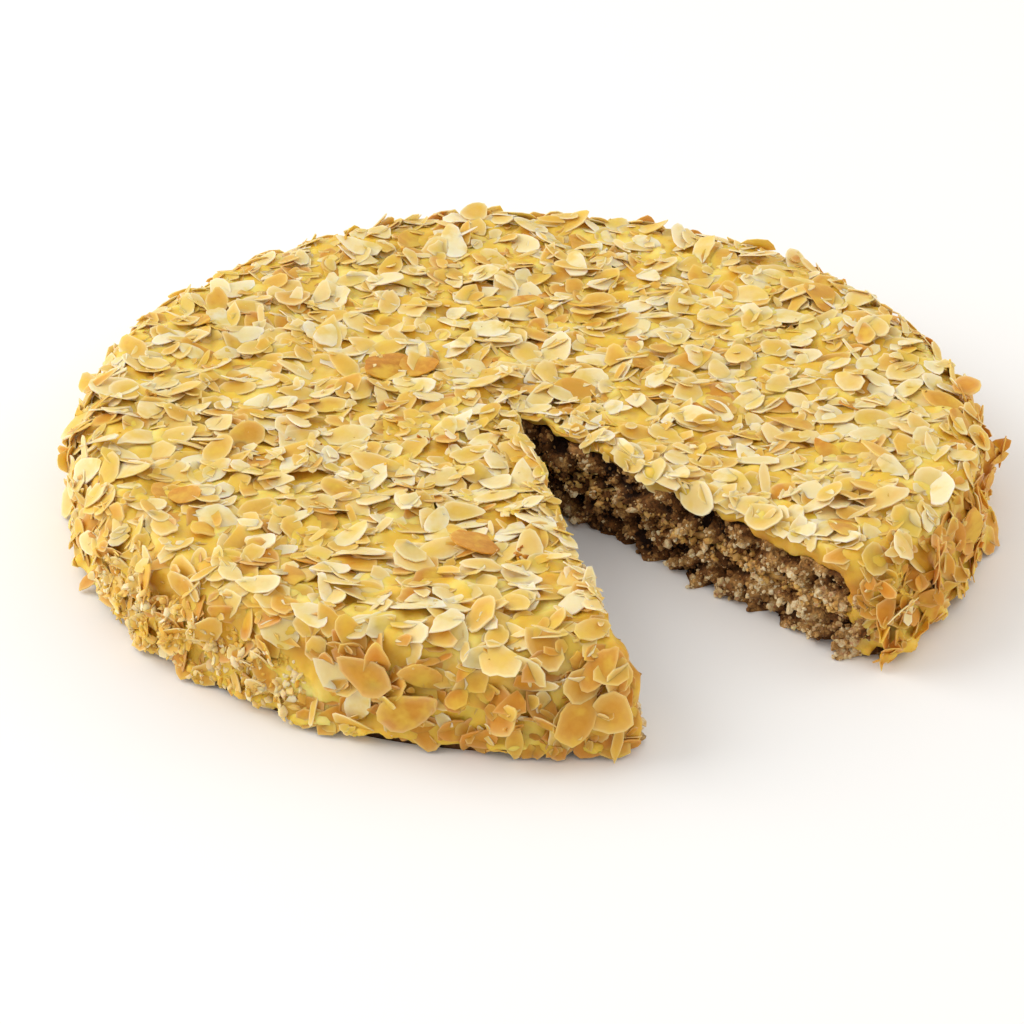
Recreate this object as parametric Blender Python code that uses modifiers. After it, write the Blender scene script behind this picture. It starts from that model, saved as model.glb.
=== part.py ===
"""A low round almond cake with one slice cut out.

Two nut macaroon layers with a thin filling between them stand under a coat of
yellow cream, which runs over the top and down the side and is set all over
with flaked almonds. Metres, +Z up. The origin is the middle of the base, on
the table, and the cut opens towards -Y and +X.
"""

import math
import random

import bmesh
import bpy
from mathutils import Matrix, Vector, noise
from mathutils.bvhtree import BVHTree

# The cream coat, before the almonds go on
CREAM_RADIUS = 0.1063
CREAM_WIDEST_HEIGHT = 0.0075
CREAM_LOWER_EDGE = 0.0016
RIM_CREST_RADIUS = 0.094
RIM_HEIGHT = 0.0260
CENTRE_HEIGHT = 0.0229
TOP_RINGS = 5
SHOULDER_DEGREES = (66, 44, 22, 0)
SHOULDER_SQUARENESS = 2.8
TUCK_DEGREES = (-13, -24)

# The macaroon layers and the filling, from the table up
BASE_RADIUS = 0.1034
LOWER_LAYER_TOP = 0.0098
FILLING_TOP = 0.0114
UPPER_LAYER_TOP = 0.0193
LAYER_SHOULDER = 0.0045
SHOULDER_SLOPE = 0.7
LAYER_DRAW_IN = 0.0022
LAYER_GAP = 0.0003

# The slice that was taken out, seen from above
CUT_APEX = Vector((-0.0036, 0.0030, 0.0))
RIGHT_CUT_DEGREES = -44.0
LEFT_CUT_DEGREES = -78.3
CUT_LENGTH = 0.124
CUT_HEIGHT = 0.034
CUT_BELOW = 0.003
CUT_OPENS_OVER = 0.012
KNIFE_THICKNESS = 0.0008
LEFT_CORNER_LEAN = 0.0052

# Relief: soft waves in the cream, crags where the macaroon is cut
CREAM_WAVE = 0.0007
CREAM_WAVE_LENGTH = 0.016
CRAG_DEPTH = 0.0021
CRAG_SIZE = 0.0036
CREAM_OVERHANG = 0.0011
CREAM_CUT_WAVE = 0.0006
CREAM_CUT_WAVE_LENGTH = 0.009

# Flaked almonds
FLAKE_LENGTHS = (0.0108, 0.0156)
FLAKE_WIDTHS = (0.62, 0.87)
FLAKE_POINTS = (0.07, 0.28)
FLAKE_THICKNESS = 0.0009
FLAKE_SIDES = 6
FLAKE_LIFTS = (-0.0002, 0.0005)
FLAKE_CLEAR_OF_TABLE = 0.0007
TOP_FLAKES = 162
TOP_REACH = 0.1006
TOP_TILT_DEGREES = 13.0
SIDE_ROWS = (0.0055, 0.0125, 0.0190)
SIDE_FLAKES_A_ROW = 35
SIDE_TILT_DEGREES = 8.0
SPOT_SHIFT = 0.0018
ROW_SHIFT = 0.0012
STEP_SHIFT = 0.2
CLEAR_OF_CUT = 0.0005

# Flakes that stand up out of the cream: degrees round the cake, radius, degrees of lean
STANDING_FLAKES = (
    (100.0, 0.0960, 52.0),
    (-36.0, 0.0300, 44.0),
    (4.0, 0.1000, 48.0),
    (176.0, 0.1010, 46.0),
    (-24.0, 0.0985, 42.0),
)
STANDING_LIFT = 0.0004

TURNED_STEPS = 54
GOLDEN_ANGLE = math.radians(137.508)
ABOVE_CAKE = 0.06
BESIDE_CAKE = 0.2
SEED = 11
UP = Vector((0.0, 0.0, 1.0))


def clear_scene():
    for obj in list(bpy.data.objects):
        bpy.data.objects.remove(obj, do_unlink=True)


def new_collection(name):
    collection = bpy.data.collections.new(name)
    bpy.context.scene.collection.children.link(collection)
    return collection


def principled(name, colour, roughness):
    material = bpy.data.materials.new(name)
    material.use_nodes = True
    shader = material.node_tree.nodes["Principled BSDF"]
    shader.inputs["Base Color"].default_value = (*colour, 1.0)
    shader.inputs["Roughness"].default_value = roughness
    shader.inputs["Metallic"].default_value = 0.0
    material.diffuse_color = (*colour, 1.0)
    return material


def object_from_bmesh(name, bm, collection, material=None):
    mesh = bpy.data.meshes.new(name)
    bm.to_mesh(mesh)
    bm.free()
    if material:
        mesh.materials.append(material)
    obj = bpy.data.objects.new(name, mesh)
    collection.objects.link(obj)
    return obj


def apply_modifiers(obj):
    """The evaluated mesh becomes the object's own, and its modifiers go."""
    graph = bpy.context.evaluated_depsgraph_get()
    mesh = bpy.data.meshes.new_from_object(obj.evaluated_get(graph))
    obj.modifiers.clear()
    obj.data = mesh


def turned(name, profile, collection, material):
    """A profile of (radius, height) points from the top of the axis to its foot, turned full circle."""
    bm = bmesh.new()
    points = [bm.verts.new((radius, 0.0, height)) for radius, height in profile]
    for one, other in zip(points, points[1:]):
        bm.edges.new((one, other))
    obj = object_from_bmesh(name, bm, collection, material)
    screw = obj.modifiers.new("Turn", "SCREW")
    screw.steps = TURNED_STEPS
    screw.render_steps = TURNED_STEPS
    screw.use_merge_vertices = True
    screw.merge_threshold = 1e-5
    apply_modifiers(obj)
    return obj


def wave(point, length, depth, seed):
    """Smooth unevenness from -depth to +depth, about length from crest to crest."""
    return 1.6 * depth * noise.noise(point / length + Vector((seed, seed, seed)))


def cream_profile():
    """The cream's outer face: a dished top, a tight round shoulder and a tucked-in lower edge.

    The shoulder and the tuck are parts of a superellipse, an ellipse drawn out
    towards the corners of its box.
    """
    profile = []
    for ring in range(TOP_RINGS + 1):
        share = ring / TOP_RINGS
        height = CENTRE_HEIGHT + (RIM_HEIGHT - CENTRE_HEIGHT) * share**2
        profile.append((RIM_CREST_RADIUS * share, height))
    power = 2.0 / SHOULDER_SQUARENESS
    rise = RIM_HEIGHT - CREAM_WIDEST_HEIGHT
    fall = (CREAM_WIDEST_HEIGHT - CREAM_LOWER_EDGE) / math.sin(math.radians(-TUCK_DEGREES[-1])) ** power
    for degrees in SHOULDER_DEGREES + TUCK_DEGREES:
        angle = math.radians(abs(degrees))
        radius = RIM_CREST_RADIUS + (CREAM_RADIUS - RIM_CREST_RADIUS) * math.cos(angle) ** power
        height = CREAM_WIDEST_HEIGHT + (rise if degrees > 0 else -fall) * math.sin(angle) ** power
        profile.append((radius, height))
    return profile


def layer_radius(height):
    """The macaroon stack draws in a little towards its top."""
    return BASE_RADIUS - LAYER_DRAW_IN * height / UPPER_LAYER_TOP


def layer_profile(bottom, top, shoulder=0.0):
    """A layer from the middle of its top to the middle of its base, its upper edge slanted off by shoulder."""
    side = [(layer_radius(top) - SHOULDER_SLOPE * shoulder, top)]
    if shoulder:
        side.append((layer_radius(top - shoulder), top - shoulder))
    return [(0.0, top), *side, (layer_radius(bottom), bottom), (0.0, bottom)]


def cream_lining():
    """The coat's inner face, a gap clear of the layers that it covers, from its lower edge to the axis."""
    shoulder_foot = UPPER_LAYER_TOP - LAYER_SHOULDER
    inner_top = UPPER_LAYER_TOP + LAYER_GAP
    rim_radius = layer_radius(UPPER_LAYER_TOP) - SHOULDER_SLOPE * LAYER_SHOULDER
    return [
        (layer_radius(CREAM_LOWER_EDGE) + LAYER_GAP, CREAM_LOWER_EDGE),
        (layer_radius(shoulder_foot) + LAYER_GAP, shoulder_foot + LAYER_GAP),
        (rim_radius + LAYER_GAP, inner_top),
        (0.0, inner_top),
    ]


def on_lining(point):
    radius = math.hypot(point.x, point.y)
    return any(
        abs(radius - lining_radius) < 1e-5 and abs(point.z - height) < 1e-5
        for lining_radius, height in cream_lining()
    )


def ripple_cream(obj):
    """Uneven cream on the outer face only, so that the lining keeps its gap to the layers."""
    for vert in obj.data.vertices:
        if on_lining(vert.co):
            continue
        outward = Vector((vert.co.x, vert.co.y, 0.0)).normalized()
        if math.hypot(vert.co.x, vert.co.y) <= RIM_CREST_RADIUS:
            outward = UP
        depth = CREAM_WAVE * min(1.0, vert.co.z / CREAM_WIDEST_HEIGHT)
        vert.co += outward * wave(vert.co, CREAM_WAVE_LENGTH, depth, 3.0)


def cut_wall(along, up, left, stands_in, relief, relief_length):
    """A point of one wall of the missing slice.

    along runs from the apex outwards and up from below the table, both from 0
    to 1. stands_in is how far the wall stands into the gap.
    """
    angle = math.radians(LEFT_CUT_DEGREES if left else RIGHT_CUT_DEGREES)
    direction = Vector((math.cos(angle), math.sin(angle), 0.0))
    into_cake = direction.cross(UP) if left else UP.cross(direction)
    distance = along * CUT_LENGTH
    height = up * CUT_HEIGHT - CUT_BELOW
    point = CUT_APEX + direction * distance + UP * height
    opened = min(1.0, distance / CUT_OPENS_OVER)
    offset = wave(point, relief_length, relief, 12.0 if left else 7.0) - stands_in
    if left:
        lowness = max(0.0, 1.0 - (max(height, 0.0) / RIM_HEIGHT) ** 2)
        offset -= LEFT_CORNER_LEAN * lowness * min(distance / CREAM_RADIUS, 1.0) ** 2
    return point + into_cake * (KNIFE_THICKNESS / 2 + opened * offset)


def slice_cutter(name, steps, stands_in, relief, relief_length, collection):
    """The missing slice as a block whose two long walls carry the cut's relief."""
    bm = bmesh.new()
    bmesh.ops.create_grid(bm, x_segments=steps[0], y_segments=steps[1], size=0.5)
    bmesh.ops.translate(bm, verts=bm.verts, vec=(0.5, 0.5, 0.0))
    grown = bmesh.ops.extrude_face_region(bm, geom=bm.faces[:])
    left_wall = [item for item in grown["geom"] if isinstance(item, bmesh.types.BMVert)]
    bmesh.ops.translate(bm, verts=left_wall, vec=UP)
    for vert in bm.verts:
        vert.co = cut_wall(vert.co.x, vert.co.y, vert.co.z > 0.5, stands_in, relief, relief_length)
    bmesh.ops.recalc_face_normals(bm, faces=bm.faces)
    obj = object_from_bmesh(name, bm, collection)
    obj.hide_render = True
    obj.display_type = "WIRE"
    return obj


def cut(obj, cutter):
    boolean = obj.modifiers.new("Slice", "BOOLEAN")
    boolean.operation = "DIFFERENCE"
    boolean.object = cutter
    apply_modifiers(obj)


def in_slice(point):
    """Whether a point lies in the missing slice, seen from above, or close beside it."""
    spot = point - CUT_APEX
    right = math.radians(RIGHT_CUT_DEGREES)
    left = math.radians(LEFT_CUT_DEGREES)
    beyond_right = spot.x * math.sin(right) - spot.y * math.cos(right)
    beyond_left = spot.y * math.cos(left) - spot.x * math.sin(left)
    return min(beyond_right, beyond_left) > -CLEAR_OF_CUT


def almond_flake(name, length, draw, collection, material):
    """One shaving of almond: thin and flat, round at one end and drawn in at the other."""
    bm = bmesh.new()
    bmesh.ops.create_circle(bm, cap_ends=True, segments=FLAKE_SIDES, radius=length / 2)
    width = draw.uniform(*FLAKE_WIDTHS)
    point = draw.uniform(*FLAKE_POINTS)
    for vert in bm.verts:
        along = 2 * vert.co.y / length
        vert.co.x *= width * (1.0 - point * max(along, 0.0))
    grown = bmesh.ops.extrude_face_region(bm, geom=bm.faces[:])
    upper = [item for item in grown["geom"] if isinstance(item, bmesh.types.BMVert)]
    bmesh.ops.translate(bm, verts=upper, vec=UP * FLAKE_THICKNESS)
    bmesh.ops.recalc_face_normals(bm, faces=bm.faces)
    return object_from_bmesh(name, bm, collection, material)


def lay(flake, spot, normal, lift, spin, tilt_degrees):
    """Puts a flake's face along the cream, turned by spin and tipped up, and keeps it off the table."""
    facing = normal.to_track_quat("Z", "Y").to_matrix().to_4x4()
    turn = Matrix.Rotation(spin, 4, "Z") @ Matrix.Rotation(math.radians(tilt_degrees), 4, "Y")
    flake.matrix_world = Matrix.Translation(spot + normal * lift) @ facing @ turn
    lowest = min((flake.matrix_world @ vert.co).z for vert in flake.data.vertices)
    raised = max(0.0, FLAKE_CLEAR_OF_TABLE - lowest)
    flake.matrix_world = Matrix.Translation(UP * raised) @ flake.matrix_world


def top_rays(draw):
    """Rays down on spots spread like the seeds of a sunflower, each a little off its place."""
    for step in range(TOP_FLAKES):
        radius = TOP_REACH * math.sqrt((step + 0.5) / TOP_FLAKES)
        angle = step * GOLDEN_ANGLE
        x = radius * math.cos(angle) + draw.uniform(-SPOT_SHIFT, SPOT_SHIFT)
        y = radius * math.sin(angle) + draw.uniform(-SPOT_SHIFT, SPOT_SHIFT)
        yield Vector((x, y, ABOVE_CAKE)), -UP


def side_rays(draw):
    """Rays inwards on rows of spots round the side, every other row half a step on."""
    for row, height in enumerate(SIDE_ROWS):
        for step in range(SIDE_FLAKES_A_ROW):
            shifted = step + 0.5 * (row % 2) + draw.uniform(-STEP_SHIFT, STEP_SHIFT)
            angle = math.tau * shifted / SIDE_FLAKES_A_ROW
            outward = Vector((math.cos(angle), math.sin(angle), 0.0))
            level = height + draw.uniform(-ROW_SHIFT, ROW_SHIFT)
            yield outward * BESIDE_CAKE + UP * level, -outward


def scatter_flakes(surface, collection, material):
    """Lays the flat flakes over the top and side, each half sunk in the cream."""
    draw = random.Random(SEED)
    for start, towards in [*top_rays(draw), *side_rays(draw)]:
        spot, normal, _, _ = surface.ray_cast(start, towards)
        if in_slice(spot):
            continue
        flake = almond_flake("flake", draw.uniform(*FLAKE_LENGTHS), draw, collection, material)
        tilt = TOP_TILT_DEGREES if towards == -UP else SIDE_TILT_DEGREES
        lift = draw.uniform(*FLAKE_LIFTS)
        lay(flake, spot, normal, lift, draw.uniform(0.0, math.tau), draw.uniform(-tilt, tilt))


def stand_flakes(surface, collection, material):
    """The few flakes that stick up out of the cream."""
    draw = random.Random(SEED)
    for degrees, radius, lean in STANDING_FLAKES:
        angle = math.radians(degrees)
        start = Vector((radius * math.cos(angle), radius * math.sin(angle), ABOVE_CAKE))
        spot, _, _, _ = surface.ray_cast(start, -UP)
        flake = almond_flake("flake", FLAKE_LENGTHS[0], draw, collection, material)
        lay(flake, spot, UP, STANDING_LIFT, draw.uniform(0.0, math.tau), lean)


def drop_scraps(obj):
    """Keeps the largest closed shell: loose scraps go, and sealed hollows fill up."""
    bm = bmesh.new()
    bm.from_mesh(obj.data)
    unseen = set(bm.faces)
    largest = set()
    while unseen:
        shell = set()
        waiting = [unseen.pop()]
        while waiting:
            face = waiting.pop()
            shell.add(face)
            near = {linked for edge in face.edges for linked in edge.link_faces} & unseen
            unseen -= near
            waiting.extend(near)
        largest = max(largest, shell, key=len)
    scraps = [face for face in bm.faces if face not in largest]
    bmesh.ops.delete(bm, geom=scraps, context="FACES")
    bm.to_mesh(obj.data)
    bm.free()


def fuse(obj, collection):
    """Joins every object of the collection to obj, and then removes them."""
    boolean = obj.modifiers.new("Almonds", "BOOLEAN")
    boolean.operation = "UNION"
    boolean.operand_type = "COLLECTION"
    boolean.solver = "MANIFOLD"
    boolean.collection = collection
    apply_modifiers(obj)
    for part in list(collection.objects):
        bpy.data.objects.remove(part, do_unlink=True)
    bpy.data.collections.remove(collection)
    drop_scraps(obj)


def main():
    clear_scene()
    cake = new_collection("almond_cake")
    cutters = new_collection("cutters")
    almonds = new_collection("almonds")

    macaroon = principled("nut_macaroon", (0.20, 0.11, 0.055), 0.9)
    golden_cream = principled("golden_cream", (0.62, 0.32, 0.07), 0.55)
    yellow_cream = principled("yellow_cream", (0.88, 0.66, 0.18), 0.4)
    almond = principled("flaked_almond", (0.86, 0.68, 0.40), 0.5)

    craggy = slice_cutter("craggy_slice", (40, 12), 0.0, CRAG_DEPTH, CRAG_SIZE, cutters)
    smooth = slice_cutter(
        "cream_slice", (16, 7), CREAM_OVERHANG, CREAM_CUT_WAVE, CREAM_CUT_WAVE_LENGTH, cutters
    )

    lower_profile = layer_profile(0.0, LOWER_LAYER_TOP)
    filling_profile = layer_profile(LOWER_LAYER_TOP + LAYER_GAP, FILLING_TOP)
    upper_profile = layer_profile(FILLING_TOP + LAYER_GAP, UPPER_LAYER_TOP, LAYER_SHOULDER)
    lower = turned("macaroon_lower", lower_profile, cake, macaroon)
    filling = turned("cream_filling", filling_profile, cake, golden_cream)
    upper = turned("macaroon_upper", upper_profile, cake, macaroon)
    coat = turned("cream_coat", cream_profile() + cream_lining(), cake, yellow_cream)
    ripple_cream(coat)
    surface = BVHTree.FromObject(coat, bpy.context.evaluated_depsgraph_get())

    cut(lower, craggy)
    cut(upper, craggy)
    cut(filling, smooth)
    cut(coat, smooth)

    scatter_flakes(surface, almonds, almond)
    stand_flakes(surface, almonds, almond)
    fuse(coat, almonds)
    for layer in (lower, filling, upper, coat):
        layer.data.shade_smooth()
        layer.data.set_sharp_from_angle(angle=math.radians(32))


main()
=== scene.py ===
"""The looks of a low round almond cake with one slice cut out.

Yellow cream with thousands of flaked almonds laid on it one by one, two crumbly
nut macaroon layers and a golden filling, on a plain pale floor in soft light.
"""

import math
from dataclasses import dataclass, replace

import bmesh
import bpy
import numpy as np
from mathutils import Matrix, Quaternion, Vector, noise
from mathutils.bvhtree import BVHTree


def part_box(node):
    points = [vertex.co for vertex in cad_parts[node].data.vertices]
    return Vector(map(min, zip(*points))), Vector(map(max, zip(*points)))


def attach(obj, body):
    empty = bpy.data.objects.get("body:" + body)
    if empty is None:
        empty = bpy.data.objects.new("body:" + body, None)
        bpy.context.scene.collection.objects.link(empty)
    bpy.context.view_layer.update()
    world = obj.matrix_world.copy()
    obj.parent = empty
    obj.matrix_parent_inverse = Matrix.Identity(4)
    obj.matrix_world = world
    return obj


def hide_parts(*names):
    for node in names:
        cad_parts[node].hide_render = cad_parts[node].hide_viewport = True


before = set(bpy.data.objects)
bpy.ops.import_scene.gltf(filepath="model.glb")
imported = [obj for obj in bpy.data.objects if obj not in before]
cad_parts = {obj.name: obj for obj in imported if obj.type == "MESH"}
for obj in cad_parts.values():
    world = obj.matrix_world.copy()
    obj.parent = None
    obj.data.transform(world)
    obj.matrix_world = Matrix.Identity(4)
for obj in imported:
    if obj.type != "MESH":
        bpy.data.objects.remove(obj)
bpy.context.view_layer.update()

MM = 0.001
UP = Vector((0.0, 0.0, 1.0))

# The cream coat, as the solid has it, a little lower where more almonds lie on it
CREAM_RADIUS = 0.1044
CREAM_WIDEST_HEIGHT = 0.0075
CREAM_LOWER_EDGE = 0.0016
RIM_CREST_RADIUS = 0.094
RIM_HEIGHT = 0.0256
CENTRE_HEIGHT = 0.0222
SHOULDER_SQUARENESS = 3.0
TUCK_DEGREES = 24.0
TOP_POINTS = 40
SHOULDER_POINTS = 40
TUCK_POINTS = 8

# The macaroon layers and the filling, from the table up
LAYER_GAP = 0.0003
BASE_RADIUS = 0.1034
LAYER_DRAW_IN = 0.0022
LAYER_SHOULDER = 0.0045
SHOULDER_SLOPE = 0.7
LOWER_LAYER_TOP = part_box("macaroon_lower")[1].z
FILLING_BOTTOM, FILLING_TOP = (corner.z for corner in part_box("cream_filling"))
UPPER_LAYER_BOTTOM, UPPER_LAYER_TOP = (corner.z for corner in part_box("macaroon_upper"))

# The slice that was taken out, seen from above
CUT_APEX = Vector((-0.0036, 0.0030, 0.0))
RIGHT_CUT_DEGREES = -44.0
LEFT_CUT_DEGREES = -78.3
CUT_LENGTH = 0.124
CUT_HEIGHT = 0.034
CUT_BELOW = 0.003
CUT_OPENS_OVER = 0.012
KNIFE_THICKNESS = 0.0008
LEFT_CORNER_LEAN = 0.0052
CORNER_ROUND_FROM = 0.098
CORNER_ROUNDING = 0.006
CRAG_DEPTH = 0.0030
CRAG_SIZE = 0.0036
HOLLOW_HEIGHT = 0.0174
HOLLOW_REACH = 0.003
HOLLOW_LENGTH = 0.010
HOLLOW_DEPTH = 0.0075
CREAM_OVERHANG = 0.0004
SMOOTH_CUT_STEP = 0.0016
TORN_CUT_STEP = 0.0007

TURNED_STEPS = 216
CREAM_GRAIN = 0.0011


def linear(hex_colour):
    """An sRGB hex colour as linear red, green, blue and alpha."""
    values = [int(hex_colour[start:start + 2], 16) / 255 for start in (1, 3, 5)]
    return (*(v / 12.92 if v <= 0.04045 else ((v + 0.055) / 1.055) ** 2.4 for v in values), 1.0)


def new_material(name):
    material = bpy.data.materials.new(name)
    material.use_nodes = True
    material.node_tree.nodes.clear()
    return material


def add(material, kind, settings=None, links=None):
    """Adds a node: settings fill its options, sockets or ramp stops, links join its sockets to outputs."""
    node = material.node_tree.nodes.new(kind)
    for name, value in (settings or {}).items():
        if name == "stops":
            elements = node.color_ramp.elements
            for position, _ in value[2:]:
                elements.new(position)
            for element, (position, colour) in zip(elements, sorted(value)):
                element.position = position
                element.color = linear(colour)
        elif isinstance(name, str) and hasattr(node, name):
            setattr(node, name, value)
        else:
            node.inputs[name].default_value = value
    for socket, output in (links or {}).items():
        material.node_tree.links.new(output, node.inputs[socket])
    return node


def finish_surface(material, shader_settings, shader_links):
    shader = add(material, "ShaderNodeBsdfPrincipled", shader_settings, shader_links)
    add(material, "ShaderNodeOutputMaterial", links={"Surface": shader.outputs["BSDF"]})
    return material


MIX_AMOUNT, MIX_FROM, MIX_TO, MIX_RESULT = 0, 6, 7, 2


def mix(material, amount, one, other, blend="MIX"):
    """Blends two colours, each a hex colour or a node's output, by a number or a node's output."""
    settings = {"data_type": "RGBA", "blend_type": blend}
    links = {}
    for socket, value in ((MIX_AMOUNT, amount), (MIX_FROM, one), (MIX_TO, other)):
        if isinstance(value, bpy.types.NodeSocket):
            links[socket] = value
        else:
            settings[socket] = linear(value) if isinstance(value, str) else value
    return add(material, "ShaderNodeMix", settings, links).outputs[MIX_RESULT]


def object_place(material):
    return add(material, "ShaderNodeTexCoord").outputs["Object"]


def patches(material, place, size, detail, roughness=0.5):
    """Random patches about size across, from 0 to 1."""
    settings = {"Scale": 1 / size, "Detail": detail, "Roughness": roughness}
    return add(material, "ShaderNodeTexNoise", settings, {"Vector": place}).outputs["Fac"]


def ramp(material, amount, *stops):
    """Colours along an amount: each stop is a position and a hex colour."""
    return add(material, "ShaderNodeValToRGB", {"stops": stops}, {"Fac": amount}).outputs["Color"]


def stretch(material, value, start, end, low=0.0, high=1.0):
    """Maps a value from start to end onto low to high, and holds it between them."""
    settings = {"From Min": start, "From Max": end, "To Min": low, "To Max": high}
    return add(material, "ShaderNodeMapRange", settings, {"Value": value}).outputs["Result"]


def bump(material, height, strength, depth):
    """Small relief, with depth in metres."""
    settings = {"Strength": strength, "Distance": depth}
    return add(material, "ShaderNodeBump", settings, {"Height": height}).outputs["Normal"]


def buttercream():
    """Buttercream cooked with egg yolks, whipped and spread with a knife.

    The yolks make it yellow, the butter gives a soft gloss, and light goes a
    little way in, so thick lumps glow orange where they are in shade. Where the
    cream is thin over the crumb in the cut it is painted orange-brown, partly for
    soaking in and partly as painted shade under its lumps; a band under the
    shoulder gets the same colour as painted shade.
    """
    material = new_material("yolk_buttercream")
    place = object_place(material)
    clouds = patches(material, place, 9 * MM, detail=3.0)
    yellow = ramp(material, clouds, (0.3, "#E0AC36"), (0.5, "#EAC34A"), (0.72, "#F4DF80"))
    soaked = add(material, "ShaderNodeAttribute", {"attribute_name": "soaked"}).outputs["Fac"]
    # Orange-brown where the cream meets the cut, partly soaking and partly painted shade; under the shoulder
    # it is painted shade only.
    colour = mix(material, soaked, yellow, "#BD7A22")
    spread = patches(material, place, 2.2 * MM, detail=5.0)
    gloss = stretch(material, spread, 0.0, 1.0, low=0.3, high=0.5)
    normal = bump(material, spread, strength=0.6, depth=0.5 * MM)
    return finish_surface(
        material,
        {
            "IOR": 1.46,
            "Specular IOR Level": 0.3,
            "Subsurface Weight": 0.45,
            "Subsurface Radius": (1.0, 0.5, 0.12),
            "Subsurface Scale": 2.2 * MM,
        },
        {"Base Color": colour, "Roughness": gloss, "Normal": normal},
    )


def flaked_almond():
    """Blanched almonds shaved into flakes and lightly toasted.

    The cut face is waxy and pale with a paler rim, the middle lets the golden
    cream through, toasting browns one end or the whole flake, and here and
    there cream is smeared over them.
    """
    material = new_material("toasted_flaked_almond")
    place = object_place(material)
    tint = add(material, "ShaderNodeAttribute", {"attribute_name": "flake"}).outputs["Color"]
    parts = add(material, "ShaderNodeSeparateColor", links={"Color": tint})
    tone, rim, toast = (parts.outputs[name] for name in ("Red", "Green", "Blue"))
    grain = patches(material, place, 1.6 * MM, detail=5.0, roughness=0.6)
    face = ramp(material, tone, (0.0, "#F9EDD2"), (0.35, "#F4DBA2"), (0.7, "#E5B650"), (1.0, "#CE8A26"))
    mottled = mix(material, 0.28, face, grain, "SOFT_LIGHT")
    rimmed = mix(material, rim, mottled, "#F8ECD0")
    uneven = stretch(material, grain, 0.3, 0.6, low=0.55)
    product = add(material, "ShaderNodeMath", {"operation": "MULTIPLY"}, {0: toast, 1: uneven})
    toasting = product.outputs["Value"]
    brown = ramp(material, toasting, (0.0, "#E2B850"), (0.4, "#CE9034"), (0.75, "#B06C22"), (1.0, "#743F14"))
    almond = mix(material, stretch(material, toasting, 0.0, 0.35), rimmed, brown)
    clouds = patches(material, place, 6 * MM, detail=3.0)
    colour = mix(material, stretch(material, clouds, 0.5, 0.66, high=0.7), almond, "#E9BF48")
    normal = bump(material, grain, strength=0.35, depth=0.12 * MM)
    return finish_surface(
        material,
        {
            "Roughness": 0.46,
            "IOR": 1.45,
            "Specular IOR Level": 0.25,
            "Subsurface Weight": 0.45,
            "Subsurface Radius": (1.0, 0.7, 0.25),
            "Subsurface Scale": 1.3 * MM,
        },
        {"Base Color": colour, "Normal": normal},
    )


def nut_macaroon():
    """Ground nuts baked in beaten egg white: a rough, open, brown crumb with pale bits of nut."""
    material = new_material("baked_nut_macaroon")
    # The crumb tone holds painted shade in the hollows and painted light towards the outer end, besides the
    # uneven tone of the nut.
    tint = add(material, "ShaderNodeAttribute", {"attribute_name": "crumb"}).outputs["Color"]
    tone = add(material, "ShaderNodeSeparateColor", links={"Color": tint}).outputs["Red"]
    grain = patches(material, object_place(material), 0.9 * MM, detail=6.0, roughness=0.7)
    crumb = ramp(material, tone, (0.0, "#2A1608"), (0.35, "#825429"), (0.65, "#C49658"), (1.0, "#F3D9A8"))
    colour = mix(material, 0.6, crumb, stretch(material, grain, 0.36, 0.64), "OVERLAY")
    normal = bump(material, grain, strength=1.0, depth=0.8 * MM)
    return finish_surface(
        material,
        {"Roughness": 0.6, "IOR": 1.45, "Specular IOR Level": 0.22},
        {"Base Color": colour, "Normal": normal},
    )


def golden_filling():
    """The same cream between the layers, darker in patches where it has sunk into the crumb."""
    material = new_material("soaked_buttercream")
    grain = patches(material, object_place(material), 1.8 * MM, detail=5.0)
    colour = ramp(material, grain, (0.3, "#8A6236"), (0.5, "#C99A4F"), (0.75, "#E2BC6C"))
    normal = bump(material, grain, strength=0.6, depth=0.3 * MM)
    return finish_surface(
        material,
        {"Roughness": 0.5, "IOR": 1.46, "Subsurface Weight": 0.15, "Subsurface Scale": 1.0 * MM},
        {"Base Color": colour, "Normal": normal},
    )


def pale_floor():
    """Matt white card: no gloss, only a soft shadow."""
    material = new_material("matt_white_card")
    return finish_surface(material, {"Base Color": linear("#F4F3F1"), "Roughness": 0.9}, {})


def object_from_bmesh(name, bm, material=None):
    mesh = bpy.data.meshes.new(name)
    bm.to_mesh(mesh)
    bm.free()
    if material:
        mesh.materials.append(material)
    obj = bpy.data.objects.new(name, mesh)
    bpy.context.scene.collection.objects.link(obj)
    return obj


def object_from_arrays(name, points, triangles, material, tint_name, tints):
    """A mesh of triangles from arrays, with one tint colour for each point."""
    mesh = bpy.data.meshes.new(name)
    mesh.vertices.add(len(points))
    mesh.vertices.foreach_set("co", points.astype(np.float32).ravel())
    mesh.loops.add(triangles.size)
    mesh.loops.foreach_set("vertex_index", triangles.astype(np.int32).ravel())
    mesh.polygons.add(len(triangles))
    mesh.polygons.foreach_set("loop_start", np.arange(0, triangles.size, 3, dtype=np.int32))
    mesh.update(calc_edges=True)
    layer = mesh.color_attributes.new(tint_name, "FLOAT_COLOR", "POINT")
    layer.data.foreach_set("color", tints.astype(np.float32).ravel())
    mesh.materials.append(material)
    obj = bpy.data.objects.new(name, mesh)
    bpy.context.scene.collection.objects.link(obj)
    return obj


def apply_modifiers(obj):
    """The evaluated mesh becomes the object's own, and its modifiers go."""
    graph = bpy.context.evaluated_depsgraph_get()
    mesh = bpy.data.meshes.new_from_object(obj.evaluated_get(graph))
    obj.modifiers.clear()
    obj.data = mesh


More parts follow.
